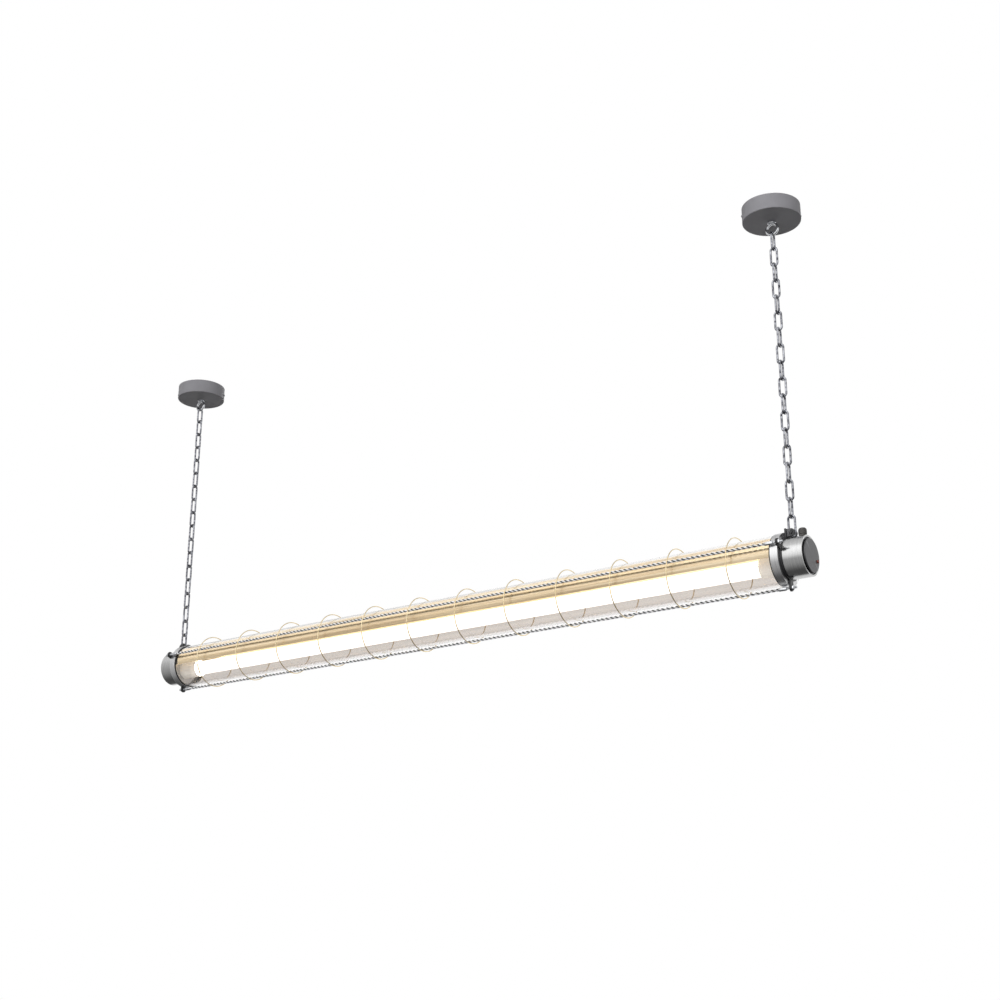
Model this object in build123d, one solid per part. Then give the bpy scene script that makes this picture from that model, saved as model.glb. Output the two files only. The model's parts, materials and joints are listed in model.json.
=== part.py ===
from build123d import *
import math
import os

# A glass tube light with one straight lamp, hung level from two chains.
# Millimetres. The origin lies on the ceiling, midway between the two ceiling cups.
# +X runs along the tube, +Y to the rear and +Z up, so the whole light is below Z = 0.

# Glass tube and reflector
glass_diameter = 76.0
glass_wall = 2.5
glass_beyond_lamp = 12.3
reflector_sheet = 0.8
reflector_glass_gap = 0.2
reflector_end_gap = 0.5
reflector_edge_angle = -5.0

# Lamp, a straight tube with two pins at each end
lamp_drop = 7.0
lamp_length = 1199.4
lamp_diameter = 25.0
lamp_wall = 1.0
lamp_cap_wall = 0.45
lamp_cap_length = 15.0
lamp_cap_end = 3.0
contact_pin_diameter = 2.35
contact_pin_length = 7.1
contact_pin_spacing = 12.7
board_width = 12.0
board_thickness = 1.2

# Lampholders, each with a threaded tail that clamps the end pieces together
holder_wall = 2.1
holder_lamp_cover = 17.7
holder_lamp_gap = 0.4
holder_tail_diameter = 10.0
holder_tail_bore = 6.5
holder_nut_across_flats = 14.0
holder_nut_thickness = 4.0
rotor_diameter = 17.4
rotor_length = 7.8
rotor_gap = 0.3
rotor_slot_gap = 0.2

# End flanges, which take the ends of the glass, and their gaskets
flange_width = 12.0
flange_wall = 1.0
flange_web = 3.0
glass_end_gap = 0.5
gasket_sleeve = 0.7
gasket_lip = 2.0

# End drums and their covers
drum_diameter = 62.0
drum_length = 31.5
drum_wall = 3.0
drum_edge_chamfer = 0.8
cover_groove = 2.5
cover_recess = 2.0
cover_plate = 3.0
cover_proud = 3.0
cover_edge_chamfer = 0.8
plug_diameter = 5.0
plug_proud = 2.0
plug_edge_margin = 6.7
plug_angle = 197.0

# Hanger plates, clamped between flange and drum
hanger_sheet = 2.5
hanger_edge_diameter = 66.0
stay_ear_width = 11.0
stay_ear_margin = 5.5
link_slot_width = 6.8
hanger_ear_sheet = 2.5
hanger_ear_margin = 6.0
hanger_shoulder = 4.0
hanger_pin_diameter = 5.0
hanger_pin_setback = 8.5
hanger_pin_height = 8.0
hanger_pin_proud = 1.5

# Tension stays of twisted wire rope, and the hoops that guard the glass
stay_diameter = 3.5
stay_angles = (22.5, 157.5, 270.0)
terminal_across_flats = 5.4
terminal_length = 12.0
terminal_gap = 0.3
stud_diameter = 4.0
stud_reach = 7.5
nut_across_flats = 7.0
nut_thickness = 3.2
hoop_wire = 1.8
hoop_count = 12
hoop_end_margin = 67.5
hoop_gap = 0.2

# Cable gland on the right drum, and the wiring behind it
gland_from_pin = 16.0
gland_diameter = 12.5
gland_seat = 0.8
gland_hexagon = 11.0
gland_collar_height = 4.0
gland_thread_diameter = 9.0
gland_nut_height = 9.5
gland_dome_height = 2.5
cable_bore_diameter = 7.0
terminal_size = (12.0, 20.0, 12.0)
terminal_height = 2.0
lead_diameter = 2.5
lead_spacing = 3.0
lead_bend = 3.0

# Chains
link_wire = 3.5
link_length = 28.0
link_inner_width = 7.0
link_count = 18
link_gap = 0.3
link_end_chords = 3

# Ceiling cups, mounting straps and eye bolts
canopy_diameter = 92.0
canopy_height = 26.0
canopy_wall = 1.5
canopy_edge_chamfer = 1.2
strap_canopy_gap = 5.5
strap_width = 24.0
strap_sheet = 2.5
ceiling_screw_spacing = 55.0
ceiling_hole_diameter = 5.2
strap_boss_across_flats = 13.0
strap_boss_height = 8.0
eye_shank_diameter = 6.0
eye_collar_across_flats = 13.0
eye_collar_height = 2.5
eye_sink = 1.0
eye_wire = 4.5
eye_inner_diameter = 14.0

# Clearances, and the flats that stand for round wire and small round bars
fit = 0.05
hole_gap = 0.2
wire_sides = 6
bar_sides = 12
hoop_chords = 16
eye_chords = 16

# Stations along the tube at the right end, counted from the middle of the light
lamp_end = lamp_length / 2
flange_front = lamp_end + glass_beyond_lamp
flange_back = flange_front + flange_width
web_front = flange_back - flange_web
glass_end = web_front - glass_end_gap
drum_front = flange_back + hanger_sheet
drum_end = drum_front + drum_length
cover_shoulder = drum_end - cover_recess
cover_back = cover_shoulder - cover_plate
cover_face = drum_end + cover_proud
drum_floor = drum_front + drum_wall
tail_end = drum_floor + holder_nut_thickness + 1.0
hanging_x = flange_back + hanger_pin_setback
gland_x = hanging_x + gland_from_pin
holder_mouth = lamp_end - holder_lamp_cover
well_front = lamp_end + holder_lamp_gap
well_back = well_front + rotor_length + 2 * rotor_gap

# Radii about the tube's axis
glass_radius = glass_diameter / 2
glass_bore = glass_radius - glass_wall
gasket_radius = glass_radius + fit + gasket_sleeve
flange_radius = gasket_radius + fit + flange_wall
stay_radius = flange_radius + terminal_across_flats / math.sqrt(3) + terminal_gap
hoop_radius = stay_radius + (stay_diameter + hoop_wire) / 2 + hoop_gap
drum_radius = drum_diameter / 2
drum_bore = drum_radius - drum_wall
cover_face_radius = drum_bore - cover_groove
plug_radius = cover_face_radius - plug_edge_margin
pin_radius = drum_radius + hanger_pin_height

# Radii about the lamp's axis
lamp_cap_bore = lamp_diameter / 2 + fit
lamp_cap_radius = lamp_cap_bore + lamp_cap_wall
holder_bore = lamp_cap_radius + holder_lamp_gap
holder_radius = holder_bore + holder_wall

# Heights, from the ceiling down the chain to the tube's axis
eye_radius = (eye_inner_diameter + eye_wire) / 2
eye_collar_z = -canopy_height - fit - eye_collar_height
eye_centre_z = eye_collar_z + eye_sink - eye_wire / 2 - eye_radius
eye_pivot_z = eye_centre_z - eye_radius
link_step = link_length - link_gap
link_half_height = (link_length + link_wire) / 2
first_link_z = eye_pivot_z + (eye_wire + link_wire) / 2 + link_gap - link_half_height
chain_pivot_z = first_link_z - link_half_height
last_link_z = first_link_z - (link_count - 1) * link_step
hanger_pin_z = last_link_z - link_half_height + (link_wire + hanger_pin_diameter) / 2 + link_gap
tube_z = hanger_pin_z - pin_radius
lamp_z = tube_z - lamp_drop
gland_seat_z = tube_z + drum_radius - gland_seat
gland_collar_z = gland_seat_z + gland_collar_height


def x_cylinder(diameter, x_start, x_end, y=0.0, z=0.0):
    """A round bar along X."""
    middle = Pos((x_start + x_end) / 2, y, z)
    return middle * Rot(0, 90, 0) * Cylinder(diameter / 2, abs(x_end - x_start))


def y_cylinder(diameter, y_start, y_end, x, z):
    """A round bar along Y."""
    middle = Pos(x, (y_start + y_end) / 2, z)
    return middle * Rot(90, 0, 0) * Cylinder(diameter / 2, abs(y_end - y_start))


def z_cylinder(diameter, z_start, z_end, x=0.0, y=0.0):
    """A round bar along Z."""
    return Pos(x, y, (z_start + z_end) / 2) * Cylinder(diameter / 2, abs(z_end - z_start))


def z_hexagon(across_flats, z_start, z_end, x=0.0, y=0.0):
    """A hexagon bar along Z."""
    return Pos(x, y, z_start) * extrude(
        RegularPolygon(across_flats / 2, 6, major_radius=False), z_end - z_start)


def x_hexagon(across_flats, x_start, x_end, y, z):
    """A hexagon bar along X."""
    return Pos(x_start, y, z) * Rot(0, 90, 0) * z_hexagon(across_flats, 0, x_end - x_start)


def flatted_bar(diameter, x_start, x_end, y, z):
    """A slender round bar along X, drawn with flats that keep its section area."""
    corner_radius = equal_area_radius(diameter, bar_sides)
    section = extrude(RegularPolygon(corner_radius, bar_sides), x_end - x_start)
    return Pos(x_start, y, z) * Rot(0, 90, 0) * section


def box_between(low, high):
    """A block from its lowest to its highest corner."""
    size = [b - a for a, b in zip(low, high)]
    centre = [(a + b) / 2 for a, b in zip(low, high)]
    return Pos(*centre) * Box(*size)


def around_tube(radius, angle):
    """Y and Z of a point at an angle that starts at the front and climbs over the top."""
    turn = math.radians(angle)
    return -radius * math.cos(turn), tube_z + radius * math.sin(turn)


def turned_profile(points, axis_z):
    """A solid of revolution about an axis along X; points are (x, radius)."""
    with BuildSketch(Plane.XZ) as outline:
        with BuildLine():
            Polyline(*points, close=True)
        make_face()
    return Pos(0, 0, axis_z) * revolve(outline.sketch, Axis.X)


def upright_profile(points, x):
    """A solid of revolution about a vertical axis; points are (radius, z)."""
    with BuildSketch(Plane.XZ) as outline:
        with BuildLine():
            Polyline(*points, close=True)
        make_face()
    return Pos(x, 0, 0) * revolve(outline.sketch, Axis.Z)


def equal_area_radius(diameter, sides):
    """Corner radius of the regular polygon with the same area as a round section."""
    return diameter / 2 * math.sqrt(2 * math.pi / (sides * math.sin(2 * math.pi / sides)))


def section_ring(centre, before, after, across, wire):
    """Corners of a wire's flatted section at a bend, in the plane that halves the bend."""
    corner_radius = equal_area_radius(wire, wire_sides)
    mitre = math.sqrt((1 + before.dot(after)) / 2)
    outward = (before + after).normalized().cross(across)
    ring = []
    for side in range(wire_sides):
        angle = math.pi * (2 * side + 1) / wire_sides
        shift = outward * (corner_radius * math.cos(angle) / mitre)
        ring.append(centre + shift + across * (corner_radius * math.sin(angle)))
    return ring


def wire_walls(first, second):
    """The flats between two neighbouring rings of corners."""
    walls = []
    for side in range(wire_sides):
        beside = (side + 1) % wire_sides
        corners = [first[side], first[beside], second[beside], second[side]]
        walls.append(Face(Wire.make_polygon(corners, close=True)))
    return walls


def wire_loop(centres, across, wire):
    """A closed loop of round wire in one plane, its section and its bends drawn with flats."""
    rings = []
    for index, centre in enumerate(centres):
        before = (centre - centres[index - 1]).normalized()
        after = (centres[(index + 1) % len(centres)] - centre).normalized()
        rings.append(section_ring(centre, before, after, across, wire))
    faces = []
    for index, ring in enumerate(rings):
        faces += wire_walls(ring, rings[(index + 1) % len(rings)])
    return Solid(Shell(faces))


def wire_run(centres, across, wire):
    """An open run of round wire in one plane, drawn with flats and closed at both ends."""
    steps = [(end - start).normalized() for start, end in zip(centres, centres[1:])]
    rings = []
    for index, centre in enumerate(centres):
        before = steps[max(index - 1, 0)]
        after = steps[min(index, len(steps) - 1)]
        rings.append(section_ring(centre, before, after, across, wire))
    faces = [Face(Wire.make_polygon(ring, close=True)) for ring in (rings[0], rings[-1])]
    for first, second in zip(rings, rings[1:]):
        faces += wire_walls(first, second)
    return Solid(Shell(faces))


def both_ends(piece):
    """The right-hand piece and its mirror image at the left end."""
    return [piece, mirror(piece, about=Plane.YZ)]


def over_both_hangers(piece):
    """Copies of a ceiling piece over the left and the right hanging point."""
    return [Pos(side * hanging_x, 0, 0) * piece for side in (-1, 1)]


def save(node, solids):
    """Write one node; several identical pieces share it as separate solids."""
    shapes = solids if isinstance(solids, list) else [solids]
    bodies = [solid for shape in shapes for solid in shape.solids()]
    export_step(bodies[0] if len(bodies) == 1 else Compound(children=bodies), f"parts/{node}.step")


# Ceiling side

def canopy():
    """A shallow cup against the ceiling, held up by the eye bolt's collar."""
    radius = canopy_diameter / 2
    bore = radius - canopy_wall
    floor = -canopy_height
    hole = eye_shank_diameter / 2 + hole_gap
    return upright_profile([
        (bore, 0), (radius, 0), (radius, floor + canopy_edge_chamfer),
        (radius - canopy_edge_chamfer, floor), (hole, floor), (hole, floor + canopy_wall),
        (bore, floor + canopy_wall)], 0)


def mounting_strap():
    """A steel strap under the ceiling, with two screw holes and a threaded hexagon boss."""
    strap_length = canopy_diameter - 2 * (canopy_wall + strap_canopy_gap)
    strap = box_between((-strap_width / 2, -strap_length / 2, -strap_sheet),
                        (strap_width / 2, strap_length / 2, 0))
    strap += z_hexagon(strap_boss_across_flats, -strap_sheet - strap_boss_height, -strap_sheet)
    for side in (-1, 1):
        strap -= z_cylinder(ceiling_hole_diameter, -strap_sheet, 0,
                            y=side * ceiling_screw_spacing / 2)
    return strap - z_cylinder(eye_shank_diameter + 2 * fit, -strap_sheet - strap_boss_height, 0)


def eye_bolt():
    """A bolt with a wire eye in the plane of the tube, screwed up into the strap's boss."""
    corner = eye_radius / math.cos(math.pi / eye_chords)
    centres = []
    for index in range(eye_chords):
        turn = math.pi * (2 * index + 1) / eye_chords
        centres.append(Vector(corner * math.sin(turn), 0, eye_centre_z - corner * math.cos(turn)))
    collar_top = eye_collar_z + eye_collar_height
    bolt = z_hexagon(eye_collar_across_flats, eye_collar_z, collar_top)
    bolt += z_cylinder(eye_shank_diameter, collar_top, -strap_sheet)
    return bolt + wire_loop(centres, Vector(0, 1, 0), eye_wire)


# Chains

def chain_link(index):
    """One welded long link; odd links lie across the tube and even links along it."""
    end_radius = (link_inner_width + link_wire) / 2
    half_straight = link_half_height - end_radius
    sideways = Vector(0, 1, 0) if index % 2 else Vector(1, 0, 0)
    across = Vector(1, 0, 0) if index % 2 else Vector(0, 1, 0)
    middle = Vector(0, 0, first_link_z - (index - 1) * link_step)
    corner_count = link_end_chords + 1
    corner = end_radius / math.cos(math.pi / (2 * corner_count))
    centres = []
    for end in (1, -1):
        for place in range(corner_count):
            turn = math.pi * (place + 0.5) / corner_count
            along = sideways * (end * corner * math.cos(turn))
            rise = end * (half_straight + corner * math.sin(turn))
            centres.append(middle + along + Vector(0, 0, rise))
    return wire_loop(centres, across, link_wire)


# Glass, reflector and guard

def glass_tube():
    """A plain glass tube whose ends stand in the gaskets."""
    return (x_cylinder(glass_diameter, -glass_end, glass_end, z=tube_z)
            - x_cylinder(2 * glass_bore, -glass_end, glass_end, z=tube_z))


def reflector():
    """A rolled half pipe that springs against the upper half of the glass, over the lamp."""
    middle_radius = glass_bore - reflector_glass_gap - reflector_sheet / 2
    start = around_tube(middle_radius, reflector_edge_angle)
    top = around_tube(middle_radius, 90)
    finish = around_tube(middle_radius, 180 - reflector_edge_angle)
    half_length = glass_end - reflector_end_gap
    with BuildSketch(Plane.YZ.offset(-half_length)) as section:
        with BuildLine() as middle_line:
            ThreePointArc(start, top, finish)
        trace(middle_line.line, reflector_sheet)
    return extrude(section.sketch, 2 * half_length)


def guard_hoop(x):
    """A wire hoop round the stays, square to the tube."""
    corner = hoop_radius / math.cos(math.pi / hoop_chords)
    centres = []
    for index in range(hoop_chords):
        y, z = around_tube(corner, 360 * (index + 0.5) / hoop_chords)
        centres.append(Vector(x, y, z))
    return wire_loop(centres, Vector(1, 0, 0), hoop_wire)


def stay(angle):
    """A straight wire rope between its two swaged terminals."""
    half_length = flange_front - fit
    return flatted_bar(stay_diameter, -half_length, half_length, *around_tube(stay_radius, angle))


def stay_terminal(angle):
    """A hexagon sleeve swaged on the rope, with the threaded stud that leaves its far end."""
    place = around_tube(stay_radius, angle)
    sleeve_start = flange_front - terminal_length / 2
    sleeve_end = flange_front + terminal_length / 2
    terminal = x_hexagon(terminal_across_flats, sleeve_start, sleeve_end, *place)
    terminal -= flatted_bar(stay_diameter + 2 * fit, sleeve_start, flange_front, *place)
    return terminal + flatted_bar(stud_diameter, sleeve_end, drum_front + stud_reach, *place)


def stay_nut(angle):
    """The nut that pulls the stay tight behind the hanger plate's ear."""
    place = around_tube(stay_radius, angle)
    nut = x_hexagon(nut_across_flats, drum_front, drum_front + nut_thickness, *place)
    return nut - flatted_bar(stud_diameter + 2 * fit, drum_front, drum_front + nut_thickness, *place)


# End pieces

def tail_hole(x_start, x_end):
    """The way through an end piece for the lampholder's tail."""
    return flatted_bar(holder_tail_diameter + 2 * hole_gap, x_start, x_end, 0, lamp_z)


def end_flange():
    """A thin turned ring with a web, which takes the glass and carries the lampholder."""
    socket = gasket_radius + fit
    ring = turned_profile([
        (flange_front, socket), (flange_front, flange_radius), (flange_back, flange_radius),
        (flange_back, 0), (web_front, 0), (web_front, socket)], tube_z)
    return ring - tail_hole(web_front, flange_back)


def end_gasket():
    """A rubber sleeve round the end of the glass, with a lip that shows before the flange."""
    lip = flange_front - gasket_lip
    return (x_cylinder(2 * gasket_radius, lip, web_front, z=tube_z)
            - x_cylinder(glass_diameter + 2 * fit, lip, web_front, z=tube_z))


def hanger_plate():
    """A black steel plate with an ear for each stay and two bent ears for the chain's pin."""
    plate = x_cylinder(hanger_edge_diameter, flange_back, drum_front, z=tube_z)
    ear_tip = stay_radius + stay_ear_margin - stay_ear_width / 2
    for angle in stay_angles:
        plate += x_cylinder(stay_ear_width, flange_back, drum_front, *around_tube(ear_tip, angle))
        arm = box_between((flange_back, -stay_ear_width / 2, 0),
                          (drum_front, stay_ear_width / 2, ear_tip))
        plate += Pos(0, 0, tube_z) * Rot(angle - 90, 0, 0) * arm
    slot = link_slot_width / 2
    ear_outside = slot + hanger_ear_sheet
    shoulder = ear_outside + hanger_shoulder
    top = hanger_pin_z + hanger_ear_margin
    foot = hanger_pin_z - hanger_ear_margin
    plate += box_between((flange_back, -shoulder, tube_z), (drum_front, shoulder, top))
    for low, high in ((-ear_outside, -slot), (slot, ear_outside)):
        ear = box_between((flange_back, low, foot), (hanging_x, high, top))
        ear += y_cylinder(2 * hanger_ear_margin, low, high, hanging_x, hanger_pin_z)
        plate += ear - y_cylinder(hanger_pin_diameter + 2 * fit, low, high, hanging_x, hanger_pin_z)
    plate -= box_between((flange_back, -slot, tube_z + drum_radius), (drum_front, slot, top))
    for angle in stay_angles:
        plate -= flatted_bar(stud_diameter + 2 * hole_gap, flange_back, drum_front,
                             *around_tube(stay_radius, angle))
    return plate - tail_hole(flange_back, drum_front)


def hanger_pin():
    """The cross pin, pressed into both ears, on which the last chain link pulls."""
    reach = link_slot_width / 2 + hanger_ear_sheet + hanger_pin_proud
    return y_cylinder(hanger_pin_diameter, -reach, reach, hanging_x, hanger_pin_z)


def end_drum():
    """A turned cup whose floor lies against the hanger plate."""
    edge = drum_edge_chamfer
    drum = turned_profile([
        (drum_front, 0), (drum_front, drum_radius), (drum_end - edge, drum_radius),
        (drum_end, drum_radius - edge), (drum_end, drum_bore), (drum_floor, drum_bore),
        (drum_floor, 0)], tube_z)
    return drum - tail_hole(drum_front, drum_floor)


def gland_drum():
    """The right drum, with a flat and a threaded hole for the cable gland."""
    seat = z_cylinder(gland_diameter + 2 * hole_gap, gland_seat_z, gland_seat_z + 2 * gland_seat,
                      x=gland_x)
    hole = z_cylinder(gland_thread_diameter + 2 * fit, tube_z, gland_seat_z, x=gland_x)
    return end_drum() - seat - hole


def end_cover():
    """A stepped disc: a plate pressed into the drum's mouth and a raised round face."""
    plate = drum_bore - fit
    face = cover_face_radius
    edge = cover_edge_chamfer
    return turned_profile([
        (cover_back, 0), (cover_back, plate), (cover_shoulder, plate), (cover_shoulder, face),
        (cover_face - edge, face), (cover_face, face - edge), (cover_face, 0)], tube_z)


def plugged_cover():
    """The right cover, with a hole for its small plug."""
    place = around_tube(plug_radius, plug_angle)
    return end_cover() - x_cylinder(plug_diameter + 2 * fit, cover_back, cover_face, *place)


def cover_plug():
    """A small round plug pressed into the right cover."""
    place = around_tube(plug_radius, plug_angle)
    return x_cylinder(plug_diameter, cover_back, cover_face + plug_proud, *place)


# Lampholders and lamp

def lampholder():
    """A round holder for the lamp's end, with a hollow threaded tail for its wires."""
    well = rotor_diameter / 2 + rotor_gap
    holder = turned_profile([
        (holder_mouth, holder_bore), (holder_mouth, holder_radius), (web_front, holder_radius),
        (web_front, 0), (well_back, 0), (well_back, well), (well_front, well),
        (well_front, holder_bore)], lamp_z)
    holder += flatted_bar(holder_tail_diameter, web_front, tail_end, 0, lamp_z)
    return holder - flatted_bar(holder_tail_bore, well_back, tail_end, 0, lamp_z)


def holder_nut():
    """The nut inside the drum that clamps drum, hanger plate, flange and lampholder."""
    nut_end = drum_floor + holder_nut_thickness
    nut = x_hexagon(holder_nut_across_flats, drum_floor, nut_end, 0, lamp_z)
    return nut - flatted_bar(holder_tail_diameter + 2 * fit, drum_floor, nut_end, 0, lamp_z)


def holder_rotor():
    """The turning disc in the holder, slotted across for the lamp's pins."""
    front = well_front + rotor_gap
    back = front + rotor_length
    half_slot = contact_pin_diameter / 2 + rotor_slot_gap
    disc = x_cylinder(rotor_diameter, front, back, z=lamp_z)
    return disc - box_between((front, -rotor_diameter, lamp_z - half_slot),
                              (lamp_end + contact_pin_length, rotor_diameter, lamp_z + half_slot))


def contact_pins(clearance=0.0):
    """The two pins of one lamp cap, or the room for them."""
    floor = lamp_end - lamp_cap_end
    return [flatted_bar(contact_pin_diameter + 2 * clearance, floor, lamp_end + contact_pin_length,
                        side * contact_pin_spacing / 2, lamp_z)
            for side in (-1, 1)]


def lamp_cap():
    """A metal cap over the end of the lamp's tube."""
    start = lamp_end - lamp_cap_length
    floor = lamp_end - lamp_cap_end
    cap = turned_profile([
        (start, lamp_cap_bore), (start, lamp_cap_radius), (lamp_end, lamp_cap_radius),
        (lamp_end, 0), (floor, 0), (floor, lamp_cap_bore)], lamp_z)
    return cap - contact_pins(fit)


def lamp_tube():
    """The opal tube of the lamp."""
    half_length = lamp_end - lamp_cap_end - hole_gap
    return (x_cylinder(lamp_diameter, -half_length, half_length, z=lamp_z)
            - x_cylinder(lamp_diameter - 2 * lamp_wall, -half_length, half_length, z=lamp_z))


def led_board():
    """The strip of light sources inside the lamp's tube, which faces down."""
    bore = lamp_diameter / 2 - lamp_wall - hole_gap
    top = lamp_z + math.sqrt(bore ** 2 - (board_width / 2) ** 2)
    half_length = lamp_end - lamp_cap_end - hole_gap
    return box_between((-half_length, -board_width / 2, top - board_thickness),
                       (half_length, board_width / 2, top))


# Cable gland and wiring

def gland_body():
    """The hexagon lower half of the cable gland, screwed into the drum."""
    body = z_cylinder(gland_thread_diameter, tube_z + drum_bore, gland_seat_z, x=gland_x)
    body += z_hexagon(gland_hexagon, gland_seat_z, gland_collar_z, x=gland_x)
    return body - z_cylinder(cable_bore_diameter, tube_z + drum_bore, gland_collar_z, x=gland_x)


def gland_nut():
    """The domed nut that squeezes the gland on the cable."""
    radius = gland_diameter / 2
    bore = cable_bore_diameter / 2
    top = gland_collar_z + gland_nut_height
    return upright_profile([
        (bore, gland_collar_z), (radius, gland_collar_z), (radius, top - gland_dome_height),
        (radius - gland_dome_height, top), (bore, top)], gland_x)


def terminal_block():
    """The connector block on the floor of the right drum."""
    length, width, height = terminal_size
    low = tube_z + terminal_height
    return box_between((drum_floor, -width / 2, low), (drum_floor + length, width / 2, low + height))


def lamp_lead(y):
    """An insulated wire from the block through the tail into the lampholder."""
    drop_x = tail_end + lead_bend + lead_diameter
    return wire_run([
        Vector(drop_x, y, tube_z + terminal_height), Vector(drop_x, y, lamp_z + lead_bend),
        Vector(drop_x - lead_bend, y, lamp_z), Vector(well_back, y, lamp_z)],
        Vector(0, 1, 0), lead_diameter)


def main():
    os.makedirs("parts", exist_ok=True)

    # Ceiling side
    for name, piece in zip(("left", "right"), over_both_hangers(canopy())):
        save(f"{name}_canopy", piece)
    save("mounting_straps", over_both_hangers(mounting_strap()))
    save("eye_bolts", over_both_hangers(eye_bolt()))

    # Chains
    links = [over_both_hangers(chain_link(index)) for index in range(1, link_count + 1)]
    for name, hung in zip(("left", "right"), zip(*links)):
        save(f"{name}_top_link", hung[0])
        save(f"{name}_chain", list(hung[1:]))

    # Glass, reflector and guard
    save("glass_tube", glass_tube())
    save("reflector", reflector())
    first_hoop = -flange_front + hoop_end_margin
    hoop_pitch = -2 * first_hoop / (hoop_count - 1)
    save("guard_hoops", [guard_hoop(first_hoop + index * hoop_pitch) for index in range(hoop_count)])
    for name, angle in zip(("front", "rear", "bottom"), stay_angles):
        save(f"{name}_stay", stay(angle))
        save(f"{name}_stay_terminals", both_ends(stay_terminal(angle)))
    save("stay_nuts", [nut for angle in stay_angles for nut in both_ends(stay_nut(angle))])

    # End pieces
    paired = {
        "end_flange": end_flange(), "end_gasket": end_gasket(), "hanger_plate": hanger_plate(),
        "lampholder": lampholder(), "holder_nut": holder_nut(), "holder_rotor": holder_rotor(),
        "lamp_cap": lamp_cap()}
    for node, piece in paired.items():
        for name, copy in zip(("right", "left"), both_ends(piece)):
            save(f"{name}_{node}", copy)
    save("right_end_drum", gland_drum())
    save("left_end_drum", mirror(end_drum(), about=Plane.YZ))
    save("right_end_cover", plugged_cover())
    save("left_end_cover", mirror(end_cover(), about=Plane.YZ))
    save("cover_plug", cover_plug())
    save("hanger_pins", both_ends(hanger_pin()))

    # Lamp
    save("lamp_tube", lamp_tube())
    save("lamp_pins", [copy for pin in contact_pins() for copy in both_ends(pin)])
    save("led_board", led_board())

    # Cable gland and wiring
    save("gland_body", gland_body())
    save("gland_nut", gland_nut())
    save("terminal_block", terminal_block())
    save("lamp_leads", [lamp_lead(side * lead_spacing / 2) for side in (-1, 1)])

    print(f"tube axis at Z {tube_z:.2f}, chains at X {hanging_x:.2f}, overall {2 * cover_face:.1f} long")
    print(f"eye pivot {eye_pivot_z:.2f}, chain pivot {chain_pivot_z:.2f}, hanger pin {hanger_pin_z:.2f}")
    print(f"lamp axis {lamp_z:.2f}, gland at X {gland_x:.2f}, from Z {tube_z + drum_bore:.2f}"
          f" to {gland_collar_z + gland_nut_height:.2f}")


main()
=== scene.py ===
import json
import math

import bmesh
import bpy
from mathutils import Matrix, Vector

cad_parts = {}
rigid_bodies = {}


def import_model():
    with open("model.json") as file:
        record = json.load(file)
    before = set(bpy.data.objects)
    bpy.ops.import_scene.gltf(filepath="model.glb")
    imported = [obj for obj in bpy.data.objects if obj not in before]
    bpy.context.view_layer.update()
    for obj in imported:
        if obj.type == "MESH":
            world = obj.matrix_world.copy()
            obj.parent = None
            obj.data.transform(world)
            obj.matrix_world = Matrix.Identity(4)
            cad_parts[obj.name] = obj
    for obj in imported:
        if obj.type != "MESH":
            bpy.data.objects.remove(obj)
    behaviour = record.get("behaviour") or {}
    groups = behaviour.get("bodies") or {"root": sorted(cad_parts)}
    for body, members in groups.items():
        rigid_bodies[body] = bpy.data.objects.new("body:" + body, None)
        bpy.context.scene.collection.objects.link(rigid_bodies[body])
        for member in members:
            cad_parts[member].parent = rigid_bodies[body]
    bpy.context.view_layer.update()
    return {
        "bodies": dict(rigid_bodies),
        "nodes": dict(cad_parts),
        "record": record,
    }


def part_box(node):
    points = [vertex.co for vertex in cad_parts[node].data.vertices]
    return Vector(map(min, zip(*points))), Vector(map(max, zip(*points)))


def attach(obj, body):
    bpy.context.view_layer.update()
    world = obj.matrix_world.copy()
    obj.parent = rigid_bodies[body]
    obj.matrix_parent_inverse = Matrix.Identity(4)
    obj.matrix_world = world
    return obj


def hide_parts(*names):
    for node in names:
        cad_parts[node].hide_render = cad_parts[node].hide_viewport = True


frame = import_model()

# A glass tube light on two chains. Metres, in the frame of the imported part: X along the tube,
# Y to the rear, Z up, with the ceiling at Z = 0.
MM = 0.001
SIDES = {"left": -1, "right": 1}
STAY_PLACES = ("front", "rear", "bottom")

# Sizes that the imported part's boxes don't give, as its source has them
CANOPY_WALL = 1.5 * MM
CANOPY_HOLE_GAP = 0.2 * MM
EYE_WIRE = 4.5 * MM
EYE_RADIUS = 9.25 * MM
EYE_COLLAR_FLATS = 13 * MM
EYE_COLLAR_HEIGHT = 2.5 * MM
EYE_SHANK_RADIUS = 3 * MM
LINK_WIRE = 3.5 * MM
LINK_END_RADIUS = 5.25 * MM
LINK_HALF_HEIGHT = 15.75 * MM
LINK_STEP = 27.7 * MM
LINKS_BELOW_TOP = 17
GLASS_WALL = 2.5 * MM
SHEET = 0.8 * MM
SHEET_EDGE_TURN = math.radians(-5)
HOOP_WIRE = 1.8 * MM
HOOP_COUNT = 12
TERMINAL_FLATS = 5.4 * MM
TERMINAL_LENGTH = 12 * MM
STUD_RADIUS = 2 * MM
NUT_FLATS = 7 * MM
NUT_HEIGHT = 3.2 * MM
FLANGE_WEB = 3 * MM
DRUM_WALL = 3 * MM
COVER_FACE_RADIUS = 25.5 * MM
COVER_PLATE = 3 * MM
HOLDER_BORE = 13.4 * MM
HOLDER_TAIL_RADIUS = 5 * MM
GLAND_FLATS = 11 * MM
GLAND_COLLAR = 4 * MM
GLAND_THREAD_RADIUS = 4.5 * MM
GLAND_BORE = 3.5 * MM

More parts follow.
